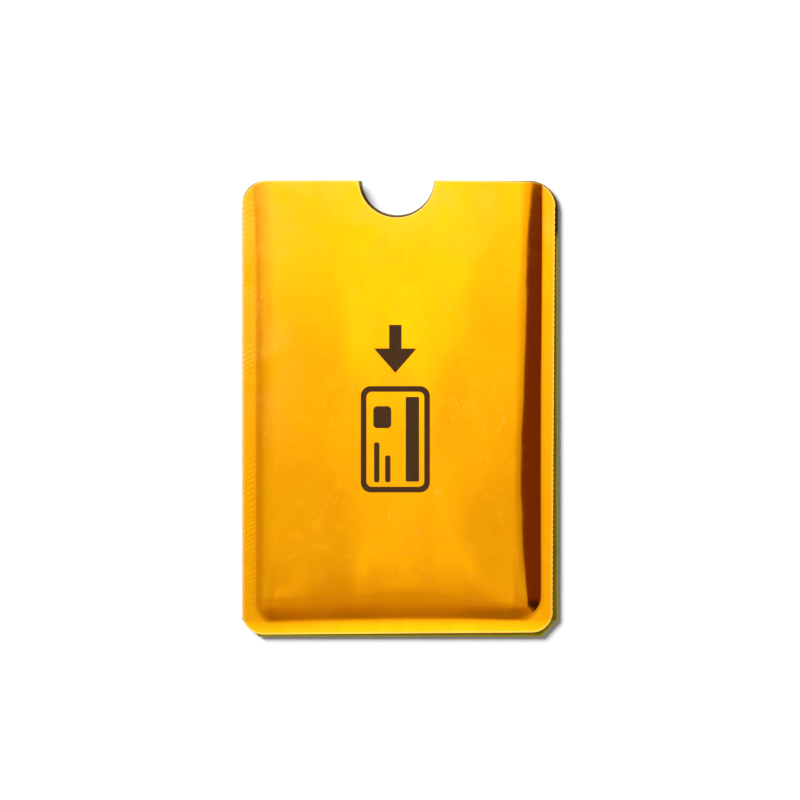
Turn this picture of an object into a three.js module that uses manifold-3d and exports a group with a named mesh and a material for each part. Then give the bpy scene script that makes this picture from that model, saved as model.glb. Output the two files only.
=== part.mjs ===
// A card sleeve of gold aluminium laminate, lying on its back with its mouth towards +Y.
// Two three-ply panels are heat-sealed along the left, right and bottom edges and left open at
// the top, where a half-round thumb notch is cut through both. The sealed pocket stays puffed:
// each panel rises from creases beside the seals, in curved ramps, to a plateau.
// Millimetres, +Z up out of the front face, origin under the middle of the back.
import * as THREE from "three";
import { mergeVertices, toCreasedNormals } from "three/addons/utils/BufferGeometryUtils.js";
import Module from "manifold-3d";

// Outline: the back panel is a rectangle with clipped bottom corners and rounded top corners.
// The front panel is trimmed short of it along the right and bottom edges, and most of all at
// their common corner.
const SLEEVE_WIDTH = 63;
const SLEEVE_LENGTH = 91;
const BACK_BOTTOM_CLIP = 3.3;
const BACK_TOP_LEFT_RADIUS = 4.6;
const BACK_TOP_RIGHT_RADIUS = 5.8;
const FRONT_TOP_RADIUS = 5.0;
const FRONT_BOTTOM_RADIUS = 4.2;
const SETBACK_TOP = 0.12;
const SETBACK_TOP_RIGHT = 0.5;
const SETBACK_RIGHT = 1.05;
const SETBACK_BOTTOM = 0.9;
const SETBACK_BOTTOM_LEFT = 0.15;

// Thumb notch: an arc that dips into the mouth edge a little left of the middle, and is smaller
// and off register in the back panel.
const NOTCH_OFFSET = -0.7;
const NOTCH_RADIUS = 7.55;
const NOTCH_DEPTH = 7.4;
const BACK_NOTCH_RADIUS = 7.3;
const BACK_NOTCH_SHIFT_X = 0.2;
const BACK_NOTCH_SHIFT_Y = 0.3;

// Seals, measured inwards from the back panel's edges. The side seals narrow towards the mouth,
// and the inner edge of the bottom seal is bowed.
const LEFT_SEAL = 2.7;
const RIGHT_SEAL = 3.4;
const BOTTOM_SEAL = 2.9;
const MOUTH_FLARE = 0.6;
const FLARE_LENGTH = 22;
const BOTTOM_BOW = 0.6;

// Pocket form: how far each panel stands off the plane where they meet, and the ramps that climb
// from the creases to the plateau. A bend of 1 is a straight ramp, and a higher one is steeper at
// the crease and level at the top. In the middle, part of the bottom climb is a long sweep.
const FRONT_RISE = 1.5;
const FRONT_CROWN = 0.5;
const CROWN_LOSS_AT_ENDS = 0.5;
const BACK_DROP = 0.6;
const LEFT_RAMP = 5.0;
const LEFT_BEND = 2.4;
const RIGHT_RAMP = 5.6;
const RIGHT_BEND = 2.0;
const BOTTOM_RAMP = 5.0;
const BOTTOM_RAMP_RIGHT = 3.4;
const BOTTOM_BEND = 2.0;
const SWEEP = 13;
const SWEEP_BEND = 2.2;
const SWEEP_SHARE = 0.6;

// At the bottom corners the side creases turn in, the left one half as far, and the plateau sinks.
const CORNER_TURN = 4.2;
const CORNER_TURN_LENGTH = 5.0;
const CORNER_TURN_BEND = 2.5;
const CORNER_SINK = 0.5;
const CORNER_SINK_LENGTH = 12;

// Towards the mouth the front panel settles by a share of its rise.
const MOUTH_FALL = 0.4;
const MOUTH_FALL_LENGTH = 33;

// Plies, and the glue line left between neighbours.
const FILM = 0.05;
const FOIL = 0.03;
const LINER = 0.08;
const GLUE = 0.005;

// Fineness of the formed sheets, the angle below which faces are shaded as one curve, the room
// that blanks leave for trimming, and the gap between a liner and the seals round it.
const RAMP_CUTS = 5;
const CREASE_BUNCHING = 1.5;
const SWEEP_CUTS = 3;
const WIDTH_CUTS = 6;
const LENGTH_CUTS = 8;
const CURVE_SEGMENTS = 8;
const SMOOTH_BELOW = THREE.MathUtils.degToRad(25);
const TRIM_MARGIN = 1;
const LINER_GAP = 0.05;

const gold = { color: 0xf0a81c, roughness: 0.22, metalness: 1.0 };
const silver = { color: 0xc9ccd0, roughness: 0.3, metalness: 1.0 };
const darkOlive = { color: 0x5d5412, roughness: 0.5, metalness: 0.0 };
const olive = { color: 0x8a7d1c, roughness: 0.4, metalness: 0.2 };

const { clamp, lerp, smoothstep } = THREE.MathUtils;

const wasm = await Module();
wasm.setup();

const edges = {
  left: -SLEEVE_WIDTH / 2,
  right: SLEEVE_WIDTH / 2,
  bottom: -SLEEVE_LENGTH / 2,
  top: SLEEVE_LENGTH / 2,
};
const pocket = {
  left: edges.left + LEFT_SEAL,
  right: edges.right - RIGHT_SEAL,
  bottom: edges.bottom + BOTTOM_SEAL,
  top: edges.top,
};
const pocketMiddleX = (pocket.left + pocket.right) / 2;
const pocketMiddleY = (pocket.bottom + pocket.top) / 2;
const flareStart = pocket.top - FLARE_LENGTH;

// A panel is liner, glue, foil, glue, film, counted from the plane where the two panels meet.
const foilLevel = GLUE + LINER + GLUE;
const filmLevel = foilLevel + FOIL + GLUE;
const panelThickness = filmLevel + FILM;
const meetingPlane = BACK_DROP + panelThickness;

// The seal lines round the pocket. Each curved stretch is a parabola.
const flareAt = (y) => MOUTH_FLARE * clamp((y - flareStart) / FLARE_LENGTH, 0, 1) ** 2;
const sealLeftAt = (y) => pocket.left - flareAt(y);
const sealRightAt = (y) => pocket.right + flareAt(y);

function acrossPocket(x) {
  return (x - pocketMiddleX) / ((pocket.right - pocket.left) / 2);
}

function sealBottomAt(x) {
  return pocket.bottom + BOTTOM_BOW * Math.max(0, 1 - acrossPocket(x) ** 2);
}

// The creases: the seal lines, with the sides turned in towards the bottom corners.
function cornerTurnAt(y) {
  return CORNER_TURN * clamp(1 - (y - pocket.bottom) / CORNER_TURN_LENGTH, 0, 1) ** CORNER_TURN_BEND;
}

const creaseLeftAt = (y) => sealLeftAt(y) + cornerTurnAt(y) / 2;
const creaseRightAt = (y) => sealRightAt(y) - cornerTurnAt(y);

function bottomRampAt(x) {
  return lerp(BOTTOM_RAMP, BOTTOM_RAMP_RIGHT, smoothstep(acrossPocket(x), 0, 1));
}

// The share of a ramp that is climbed at a distance from its crease.
function climbed(distance, width, bend) {
  return 1 - (1 - clamp(distance / width, 0, 1)) ** bend;
}

// Share of the full rise at a point: 0 on and outside the creases, 1 on the plateau.
function rampShare(x, y) {
  const offCentre = smoothstep(Math.abs(acrossPocket(x)), 0, 1);
  const height = y - sealBottomAt(x);
  const sunk = 1 - CORNER_SINK * offCentre * clamp(1 - height / CORNER_SINK_LENGTH, 0, 1) ** 2;
  const left = climbed(x - creaseLeftAt(y), LEFT_RAMP, LEFT_BEND);
  const right = climbed(creaseRightAt(y) - x, RIGHT_RAMP, RIGHT_BEND);
  const short = climbed(height, bottomRampAt(x), BOTTOM_BEND);
  const long = climbed(height, SWEEP, SWEEP_BEND);
  return left * right * lerp(short, long, SWEEP_SHARE * (1 - offCentre)) * sunk;
}

function frontRise(x, y) {
  const along = (y - pocketMiddleY) / ((pocket.top - pocket.bottom) / 2);
  const crown = FRONT_CROWN * (1 - acrossPocket(x) ** 2) * (1 - CROWN_LOSS_AT_ENDS * along ** 2);
  const fall = MOUTH_FALL * clamp((y - pocket.top) / MOUTH_FALL_LENGTH + 1, 0, 1) ** 2;
  return rampShare(x, y) * (FRONT_RISE * (1 - fall) + crown);
}

function backDrop(x, y) {
  return rampShare(x, y) * BACK_DROP;
}

// Stops from one place up to, but not including, the next. Bunching crowds them at the start.
function stops(from, to, count, bunching = 1) {
  return Array.from({ length: count }, (_, i) => from + (to - from) * (i / count) ** bunching);
}

// The lines of the grid follow the creases, so that the sheet can fold along them.
function columnsAt(y) {
  const creaseLeft = creaseLeftAt(y);
  const creaseRight = creaseRightAt(y);
  const plateauLeft = creaseLeft + LEFT_RAMP;
  const plateauRight = creaseRight - RIGHT_RAMP;
  return [
    edges.left - TRIM_MARGIN,
    ...stops(creaseLeft, plateauLeft, RAMP_CUTS, CREASE_BUNCHING),
    ...stops(plateauLeft, plateauRight, WIDTH_CUTS),
    plateauRight,
    ...stops(creaseRight, plateauRight, RAMP_CUTS, CREASE_BUNCHING).reverse(),
    edges.right + TRIM_MARGIN,
  ];
}

function rowsAt(x) {
  const sealBottom = sealBottomAt(x);
  const rampEnd = sealBottom + bottomRampAt(x);
  const sweepEnd = sealBottom + SWEEP;
  return [
    edges.bottom - TRIM_MARGIN,
    ...stops(sealBottom, rampEnd, RAMP_CUTS, CREASE_BUNCHING),
    ...stops(rampEnd, sweepEnd, SWEEP_CUTS),
    ...stops(sweepEnd, pocket.top, LENGTH_CUTS),
    edges.top + TRIM_MARGIN,
  ];
}

const gridRows = rowsAt(edges.left).map((plainY) => columnsAt(plainY));
const grid = gridRows.map((row, j) => row.map((x) => ({ x, y: rowsAt(x)[j] })));

// A closed sheet over the grid, between a lower and an upper surface.
function sheetGeometry(lowerAt, upperAt) {
  const rows = grid.length;
  const columns = grid[0].length;
  const layer = columns * rows;
  const positions = [];
  for (const heightAt of [lowerAt, upperAt]) {
    for (const { x, y } of grid.flat()) positions.push(x, y, heightAt(x, y));
  }

  const index = [];
  const quad = (a, b, c, d) => index.push(a, b, c, a, c, d);
  for (let row = 0; row + 1 < rows; row++) {
    for (let column = 0; column + 1 < columns; column++) {
      const a = row * columns + column;
      const b = a + columns;
      quad(a, b, b + 1, a + 1);
      quad(layer + a, layer + a + 1, layer + b + 1, layer + b);
    }
  }

  const rim = [];
  for (let column = 0; column + 1 < columns; column++) rim.push(column);
  for (let row = 0; row + 1 < rows; row++) rim.push(row * columns + columns - 1);
  for (let column = columns - 1; column > 0; column--) rim.push((rows - 1) * columns + column);
  for (let row = rows - 1; row > 0; row--) rim.push(row * columns);
  rim.forEach((here, i) => {
    const next = rim[(i + 1) % rim.length];
    quad(here, next, layer + next, layer + here);
  });

  const geometry = new THREE.BufferGeometry();
  geometry.setAttribute("position", new THREE.Float32BufferAttribute(positions, 3));
  geometry.setIndex(index);
  return geometry;
}

// The arc of the thumb notch, walked from its right lip down and up to its left lip.
function addNotch(shape, radius, shiftX, shiftY) {
  const centreX = NOTCH_OFFSET + shiftX;
  const centreY = edges.top + NOTCH_RADIUS - NOTCH_DEPTH + shiftY;
  const lip = Math.asin((centreY - edges.top) / radius);
  shape.absarc(centreX, centreY, radius, -lip, lip - Math.PI, true);
}

// The front panel: a four-cornered outline, each corner an arc that touches both of its edges.
function frontShape() {
  const { left, right, bottom, top } = edges;
  const corners = [
    { at: new THREE.Vector2(left, bottom + SETBACK_BOTTOM_LEFT), radius: FRONT_BOTTOM_RADIUS },
    { at: new THREE.Vector2(right - SETBACK_RIGHT, bottom + SETBACK_BOTTOM), radius: FRONT_BOTTOM_RADIUS },
    { at: new THREE.Vector2(right - SETBACK_TOP_RIGHT, top - SETBACK_TOP), radius: FRONT_TOP_RADIUS },
    { at: new THREE.Vector2(left, top), radius: FRONT_TOP_RADIUS },
  ];
  const shape = new THREE.Shape();
  corners.forEach(({ at, radius }, i) => {
    const incoming = at.clone().sub(corners[(i + 3) % 4].at).normalize();
    const outgoing = corners[(i + 1) % 4].at.clone().sub(at).normalize();
    const turn = Math.acos(incoming.dot(outgoing));
    const inset = radius * Math.tan(turn / 2);
    const inwards = new THREE.Vector2(-incoming.y, incoming.x);
    const centre = at.clone().addScaledVector(incoming, -inset).addScaledVector(inwards, radius);
    const from = Math.atan2(-inwards.y, -inwards.x);
    if (i === 3) addNotch(shape, NOTCH_RADIUS, 0, 0);
    shape.absarc(centre.x, centre.y, radius, from, from + turn);
  });
  return shape;
}

// The back panel: the full rectangle, with its bottom corners clipped and its top corners rounded.
function backShape() {
  const { left, right, bottom, top } = edges;
  const clip = BACK_BOTTOM_CLIP;
  const leftRadius = BACK_TOP_LEFT_RADIUS;
  const rightRadius = BACK_TOP_RIGHT_RADIUS;
  const shape = new THREE.Shape();
  shape.moveTo(left + clip, bottom);
  shape.lineTo(right - clip, bottom);
  shape.lineTo(right, bottom + clip);
  shape.absarc(right - rightRadius, top - rightRadius, rightRadius, 0, Math.PI / 2);
  addNotch(shape, BACK_NOTCH_RADIUS, BACK_NOTCH_SHIFT_X, BACK_NOTCH_SHIFT_Y);
  shape.absarc(left + leftRadius, top - leftRadius, leftRadius, Math.PI / 2, Math.PI);
  shape.lineTo(left, bottom + clip);
  return shape;
}

// Walks a seal line as a parabola: along the bottom to the right, with an offset into the pocket,
// or up a side to the mouth, or down a side from it.
function bowTo(shape, offset) {
  const y = pocket.bottom + offset;
  shape.quadraticCurveTo(pocketMiddleX, y + 2 * BOTTOM_BOW, pocket.right - offset, y);
}

function flareUp(shape, x, mouthX) {
  shape.lineTo(x, flareStart);
  shape.quadraticCurveTo(x, flareStart + FLARE_LENGTH / 2, mouthX, pocket.top);
  shape.lineTo(mouthX, pocket.top + TRIM_MARGIN);
}

function flareDown(shape, x, mouthX) {
  shape.lineTo(mouthX, pocket.top + TRIM_MARGIN);
  shape.lineTo(mouthX, pocket.top);
  shape.quadraticCurveTo(x, flareStart + FLARE_LENGTH / 2, x, flareStart);
}

// A liner fills the pocket between the seals.
function linerShape() {
  const left = pocket.left + LINER_GAP;
  const right = pocket.right - LINER_GAP;
  const shape = new THREE.Shape();
  shape.moveTo(left, pocket.bottom + LINER_GAP);
  bowTo(shape, LINER_GAP);
  flareUp(shape, right, right + MOUTH_FLARE);
  flareDown(shape, left, left - MOUTH_FLARE);
  return shape;
}

function leftSealShape() {
  const outside = edges.left - TRIM_MARGIN;
  const shape = new THREE.Shape();
  shape.moveTo(outside, pocket.bottom + LINER_GAP);
  shape.lineTo(pocket.left, pocket.bottom + LINER_GAP);
  flareUp(shape, pocket.left, pocket.left - MOUTH_FLARE);
  shape.lineTo(outside, pocket.top + TRIM_MARGIN);
  return shape;
}

function rightSealShape() {
  const outside = edges.right + TRIM_MARGIN;
  const shape = new THREE.Shape();
  shape.moveTo(outside, pocket.bottom + LINER_GAP);
  shape.lineTo(outside, pocket.top + TRIM_MARGIN);
  flareDown(shape, pocket.right, pocket.right + MOUTH_FLARE);
  shape.lineTo(pocket.right, pocket.bottom + LINER_GAP);
  return shape;
}

function bottomSealShape() {
  const low = edges.bottom - TRIM_MARGIN;
  const shape = new THREE.Shape();
  shape.moveTo(edges.left - TRIM_MARGIN, low);
  shape.lineTo(edges.left - TRIM_MARGIN, pocket.bottom);
  shape.lineTo(pocket.left, pocket.bottom);
  bowTo(shape, 0);
  shape.lineTo(edges.right + TRIM_MARGIN, pocket.bottom);
  shape.lineTo(edges.right + TRIM_MARGIN, low);
  return shape;
}

// A cutting die: the outline stood up tall enough to pass through every ply.
function die(shape) {
  const reach = meetingPlane + panelThickness + FRONT_RISE + FRONT_CROWN + TRIM_MARGIN;
  const options = { depth: reach + TRIM_MARGIN, bevelEnabled: false, curveSegments: CURVE_SEGMENTS };
  return new THREE.ExtrudeGeometry(shape, options).translate(0, 0, -TRIM_MARGIN);
}

function solidOf(geometry) {
  const bare = geometry.clone();
  bare.deleteAttribute("normal");
  bare.deleteAttribute("uv");
  const merged = mergeVertices(bare);
  return new wasm.Manifold(
    new wasm.Mesh({
      numProp: 3,
      vertProperties: new Float32Array(merged.attributes.position.array),
      triVerts: new Uint32Array(merged.index.array),
    }),
  );
}

function geometryOf(solid) {
  const { vertProperties, triVerts } = solid.getMesh();
  const geometry = new THREE.BufferGeometry();
  geometry.setAttribute("position", new THREE.BufferAttribute(vertProperties, 3));
  geometry.setIndex(new THREE.BufferAttribute(triVerts, 1));
  return toCreasedNormals(geometry, SMOOTH_BELOW);
}

const sleeve = new THREE.Group();
sleeve.name = "card_sleeve";

// Cuts a blank to its outlines and adds it to the sleeve as a named piece.
function addPiece(name, blank, outlines, finish) {
  let cut = solidOf(blank);
  for (const outline of outlines) cut = cut.intersect(solidOf(die(outline)));
  const mesh = new THREE.Mesh(geometryOf(cut), new THREE.MeshStandardMaterial(finish));
  mesh.name = name;
  sleeve.add(mesh);
}

// A ply of the front panel, from its level above the meeting plane upwards.
function frontPly(level, thickness) {
  const lowerAt = (x, y) => meetingPlane + level + frontRise(x, y);
  return sheetGeometry(lowerAt, (x, y) => lowerAt(x, y) + thickness);
}

// A ply of the back panel, from its level below the meeting plane downwards.
function backPly(level, thickness) {
  const upperAt = (x, y) => meetingPlane - level - backDrop(x, y);
  return sheetGeometry((x, y) => upperAt(x, y) - thickness, upperAt);
}

// A seal: both liners fused into one flat bar that fills the gap between the foils.
function sealBar(shape) {
  const thickness = 2 * (GLUE + LINER);
  const options = { depth: thickness, bevelEnabled: false, curveSegments: CURVE_SEGMENTS };
  return new THREE.ExtrudeGeometry(shape, options).translate(0, 0, meetingPlane - thickness / 2);
}

const frontOutline = frontShape();
const backOutline = backShape();
const linerOutline = linerShape();

addPiece("front_film", frontPly(filmLevel, FILM), [frontOutline], gold);
addPiece("front_foil", frontPly(foilLevel, FOIL), [frontOutline], silver);
addPiece("front_liner", frontPly(GLUE, LINER), [frontOutline, linerOutline], darkOlive);
addPiece("back_film", backPly(filmLevel, FILM), [backOutline], gold);
addPiece("back_foil", backPly(foilLevel, FOIL), [backOutline], silver);
addPiece("back_liner", backPly(GLUE, LINER), [backOutline, linerOutline], darkOlive);
addPiece("left_seal", sealBar(leftSealShape()), [backOutline], olive);
addPiece("right_seal", sealBar(rightSealShape()), [backOutline], olive);
addPiece("bottom_seal", sealBar(bottomSealShape()), [backOutline], olive);

export default sleeve;
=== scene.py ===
"""A gold aluminium card sleeve in a plain studio.

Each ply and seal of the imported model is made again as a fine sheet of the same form. A flat blank
is cut to its outline, and one Geometry Nodes tree puffs the pocket, crimps the side seals and
curls and ripples the sheet. The front carries a plain printed mark. Lengths are in metres, in the
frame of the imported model: the mouth is towards +Y and the front faces +Z.
"""

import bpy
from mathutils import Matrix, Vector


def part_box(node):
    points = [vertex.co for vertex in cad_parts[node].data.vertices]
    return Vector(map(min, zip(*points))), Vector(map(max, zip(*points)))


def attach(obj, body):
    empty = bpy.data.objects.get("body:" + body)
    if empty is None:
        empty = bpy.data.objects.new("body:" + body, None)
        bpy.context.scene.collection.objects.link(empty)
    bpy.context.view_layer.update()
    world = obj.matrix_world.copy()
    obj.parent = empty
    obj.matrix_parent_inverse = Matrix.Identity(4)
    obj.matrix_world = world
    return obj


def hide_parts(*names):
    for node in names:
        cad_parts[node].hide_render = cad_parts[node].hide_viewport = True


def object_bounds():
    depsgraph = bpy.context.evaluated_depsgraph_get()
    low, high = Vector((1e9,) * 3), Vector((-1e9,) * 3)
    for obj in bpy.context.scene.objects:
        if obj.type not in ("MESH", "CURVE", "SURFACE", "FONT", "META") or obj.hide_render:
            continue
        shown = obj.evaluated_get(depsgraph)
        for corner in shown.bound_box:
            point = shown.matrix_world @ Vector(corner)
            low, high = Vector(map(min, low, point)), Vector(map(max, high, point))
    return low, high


bl_info = {
    "name": "Card sleeve",
    "version": (1, 0, 0),
    "blender": (4, 5, 0),
    "location": "View3D > Sidebar > Card sleeve",
    "description": "Builds a gold aluminium card sleeve, its printed mark and a plain studio",
    "category": "Add Mesh",
}

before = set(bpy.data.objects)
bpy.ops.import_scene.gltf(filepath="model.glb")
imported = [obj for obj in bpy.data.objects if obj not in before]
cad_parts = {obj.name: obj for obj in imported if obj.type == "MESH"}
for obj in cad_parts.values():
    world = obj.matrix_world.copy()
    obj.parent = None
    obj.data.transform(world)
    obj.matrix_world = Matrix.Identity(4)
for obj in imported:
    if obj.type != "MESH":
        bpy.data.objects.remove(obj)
CAD_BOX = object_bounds()

import math
from types import SimpleNamespace

import bpy
import numpy as np
from bpy.props import FloatProperty, FloatVectorProperty, IntProperty, PointerProperty
from bpy.types import Operator, Panel, PropertyGroup
from mathutils import Vector
from mathutils.geometry import delaunay_2d_cdt
from mathutils.kdtree import KDTree

MM = 0.001

BACK_LOW, BACK_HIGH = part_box("back_film")
SEAL_LOW, SEAL_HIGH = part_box("left_seal")
MEETING_PLANE = (SEAL_LOW.z + SEAL_HIGH.z) / 2

# Spacing of the points along a cut edge, and of those that distances to it are taken from.
EDGE_STEP = 0.5 * MM
EDGE_SAMPLE = 0.1 * MM
# A sheet's points keep this share of their spacing from a cut edge.
EDGE_ROOM = 0.45
# Faces turned from each other by more than this are shaded with a hard edge.
SHARP_ANGLE = math.radians(50)
# Points on a corner of a panel and of the print, a thumb notch, a flared seal line, the bowed
# one and a tooth.
CORNER_POINTS = 20
PRINT_CORNER_POINTS = 9
NOTCH_POINTS = 61
FLARE_POINTS = 24
BOW_POINTS = 49
TOOTH_POINTS = 4


def length(name, millimetres, description):
    """A length in the sidebar, with its default in millimetres."""
    return FloatProperty(
        name=name,
        description=description,
        default=millimetres * MM,
        unit="LENGTH",
        precision=5,
    )


def share(name, amount, description):
    """A share from 0 to 1 in the sidebar."""
    return FloatProperty(
        name=name,
        description=description,
        default=amount,
        min=0.0,
        max=1.0,
        subtype="FACTOR",
    )


def colour(name, red, green, blue, description):
    """A linear colour in the sidebar."""
    return FloatVectorProperty(
        name=name,
        description=description,
        default=(red, green, blue),
        size=3,
        min=0.0,
        soft_max=1.0,
        subtype="COLOR",
    )


class SleeveForm(PropertyGroup):
    """Sizes of the panels, the seals and the puffed pocket."""

    bottom_clip: length("Back bottom clip", 3.3, "Straight cut across each bottom corner of the back")
    back_left_radius: length("Back top left radius", 4.6, "Corner radius of the back, top left")
    back_right_radius: length("Back top right radius", 5.8, "Corner radius of the back, top right")
    top_radius: length("Front top radius", 5.0, "Corner radius of the front at the mouth")
    bottom_radius: length("Front bottom radius", 4.2, "Corner radius of the front at the closed end")
    setback_top_right: length("Setback at the mouth", 0.5, "Front short of the back, top right, across")
    setback_right: length("Setback at the right", 1.05, "Front short of the back, bottom right, across")
    setback_bottom: length("Setback at the bottom", 0.86, "Front short of the back, bottom right, along")
    setback_bottom_left: length("Setback at the left", 0.38, "Front short of the back, bottom left, along")
    setback_top: length("Setback at the top", 0.24, "Front short of the back, top right, along")
    notch_radius: length("Notch radius", 7.55, "Radius of the front panel's thumb notch")
    notch_offset: length("Notch offset", -0.7, "How far the notch lies right of the sleeve's middle")
    notch_depth: length("Notch depth", 7.4, "How far the thumb notch dips into the mouth edge")
    back_notch_radius: length("Back notch radius", 7.3, "Radius of the back panel's thumb notch")
    notch_shift_x: length("Back notch shift across", 0.2, "Back notch off register, to the right")
    notch_shift_y: length("Back notch shift along", 0.3, "Back notch off register, towards the mouth")
    left_seal: length("Left seal", 2.7, "Width of the left seal below the flare")
    right_seal: length("Right seal", 3.4, "Width of the right seal below the flare")
    bottom_seal: length("Bottom seal", 2.9, "Width of the bottom seal at its ends")
    mouth_flare: length("Mouth flare", 0.6, "How far the side seals narrow at the mouth")
    flare_length: length("Flare length", 22.0, "Length over which the side seals narrow")
    taper: length("Right taper", 0.48, "How far the right crease has moved out at the mouth")
    taper_length: length("Right taper length", 41.8, "Length over which the right crease moves out")
    bottom_bow: length("Bottom bow", 0.6, "How far the bottom seal line rises in the middle")
    bottom_tilt: length("Bottom tilt", 0.28, "How much higher the bottom crease runs at the right")
    left_ramp: length("Left ramp", 4.4, "Width of the left ramp from seal to plateau")
    right_ramp: length("Right ramp", 5.6, "Width of the right ramp from seal to plateau")
    belly: share("Belly", 0.38, "How much fuller the right ramp is at its belly")
    belly_place: length("Belly place", -15.3, "Place of the belly along the sleeve")
    belly_length: length("Belly length", 17.0, "Half the length of the belly")
    bottom_ramp: length("Bottom ramp", 5.0, "Width of the bottom ramp at its left end")
    bottom_ramp_right: length("Bottom ramp, right", 3.4, "Width of the bottom ramp at its right end")
    bottom_sweep: length("Bottom sweep", 16.0, "Width of the long soft slope over the bottom ramp")
    sweep_share: share("Sweep share", 0.62, "Share of the height that the long slope climbs")
    middle_loss: share("Middle loss", 0.2, "Share of the long slope missing in the middle")
    corner_round: length("Pocket corner", 2.2, "How far the side creases turn in at the bottom")
    corner_length: length("Pocket corner length", 4.8, "Length over which the creases turn in")
    corner_sink: share("Corner sink", 0.4, "Share of height lost, lower right; less at the left")
    sink_length: length("Corner sink length", 12.0, "Length over which the corners sink")
    front_rise: length("Front rise", 1.48, "Height of the front plateau over the seals")
    front_crown: length("Front crown", 0.48, "Extra height in the middle of the front plateau")
    crown_loss: share("Crown loss", 0.5, "Share of the crown lost at the two ends")
    mouth_fall: share("Mouth fall", 0.4, "Share of the front rise lost at the mouth")
    fall_length: length("Fall length", 64.0, "Length over which the front settles to the mouth")
    back_drop: length("Back drop", 0.6, "Depth of the back plateau under the seals")
    crease_softness: share("Crease softness", 0.025, "Rounding of the crease along the seals")
    film: length("Film", 0.05, "Thickness of the coloured outer film")
    foil: length("Foil", 0.03, "Thickness of the aluminium foil")
    liner: length("Liner", 0.08, "Thickness of the sealing liner")
    glue: length("Glue", 0.005, "Glue line between neighbouring plies")
    liner_gap: length("Liner gap", 0.05, "Room between a liner and the seals round it")
    tooth_pitch: length("Tooth pitch", 1.02, "Pitch of the teeth that the side trimmer leaves")
    tooth_depth: length("Tooth depth", 0.12, "Depth of those teeth")
    crimp_pitch: length("Crimp pitch", 1.05, "Pitch of the ribs pressed across the side seals")
    crimp_depth: length("Crimp depth", 0.009, "Depth of the ribs at the left; less at the right")
    rim_curl: length("Rim curl", 0.14, "How far the bottom rim curls up")
    ripple: length("Ripple", 0.08, "Depth of the shallow waves in the front; half of it in the back")
    ripple_seed: IntProperty(name="Ripple seed", description="Chooses the waves", default=7)


class SleeveFinish(PropertyGroup):
    """Colours and gloss of the plies, the seals and the ink."""

    gold: colour("Gold", 1.0, 0.41, 0.0012, "Colour of the metallised film")
    gold_deep: colour("Deep gold", 0.97, 0.36, 0.0008, "Darker drift in the film's colour")
    # Paler gold, painted as a sheen where the film catches more light.
    gold_sheen: colour("Hazed gold", 1.0, 0.46, 0.045, "Film under a thin haze")
    gold_grazing: colour("Grazing gold", 1.0, 0.74, 0.28, "Film seen at a flat angle")
    # Paler gold for scratches, and painted as a highlight along the cut edges.
    gold_worn_and_highlight: colour("Worn gold", 1.0, 0.6, 0.14, "Film rubbed thin along its cut edges")
    gloss: share("Film roughness", 0.09, "Roughness of clean film")
    silver: colour("Aluminium", 0.77, 0.78, 0.80, "Colour of the foil")
    silver_dull: colour("Dull aluminium", 0.52, 0.53, 0.55, "Duller lines and clouds in the foil")
    liner: colour("Liner", 0.11, 0.088, 0.007, "Colour of the sealing liner")
    liner_mottle: colour("Liner mottle", 0.10, 0.075, 0.006, "Darker mottle of the liner")
    olive: colour("Olive", 0.115, 0.088, 0.001, "Colour of the fused seals")
    olive_deep: colour("Deep olive", 0.07, 0.05, 0.001, "Fused seal where it flowed thick")
    # Lighter olive, painted as a highlight along the seal's cut edge.
    olive_rim_highlight: colour("Thin olive", 0.24, 0.23, 0.006, "Fused seal where it is pressed thin")
    # Near black, painted as shadow on the right seal just below the mouth.
    seal_gap_shadow: colour("Scorch", 0.006, 0.005, 0.001, "Fused seal where it is scorched")
    ink: colour("Ink", 0.035, 0.014, 0.004, "Colour of the printed mark")
    ink_thin: colour("Thin ink", 0.075, 0.034, 0.010, "Ink where it covers less")


class SleevePrint(PropertyGroup):
    """Place and sizes of the printed mark: a plain card under an arrow."""

    centre_x: length("Across", -0.95, "Middle of the mark, across the sleeve")
    centre_y: length("Along", 0.0, "Middle of the mark, along the sleeve")
    card_width: length("Card width", 13.8, "Width of the card's outline")
    card_length: length("Card length", 21.2, "Length of the card's outline")
    card_radius: length("Card corner radius", 2.0, "Corner radius of the card's outline")
    line: length("Line", 1.15, "Width of the card's outline")
    stripe: length("Stripe", 2.7, "Width of the stripe along the card")
    arrow_width: length("Arrow width", 8.6, "Width of the arrow's head")
    arrow_length: length("Arrow length", 9.6, "Length of the arrow")
    ink_height: length("Ink height", 0.01, "Thickness of the ink")


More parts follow.
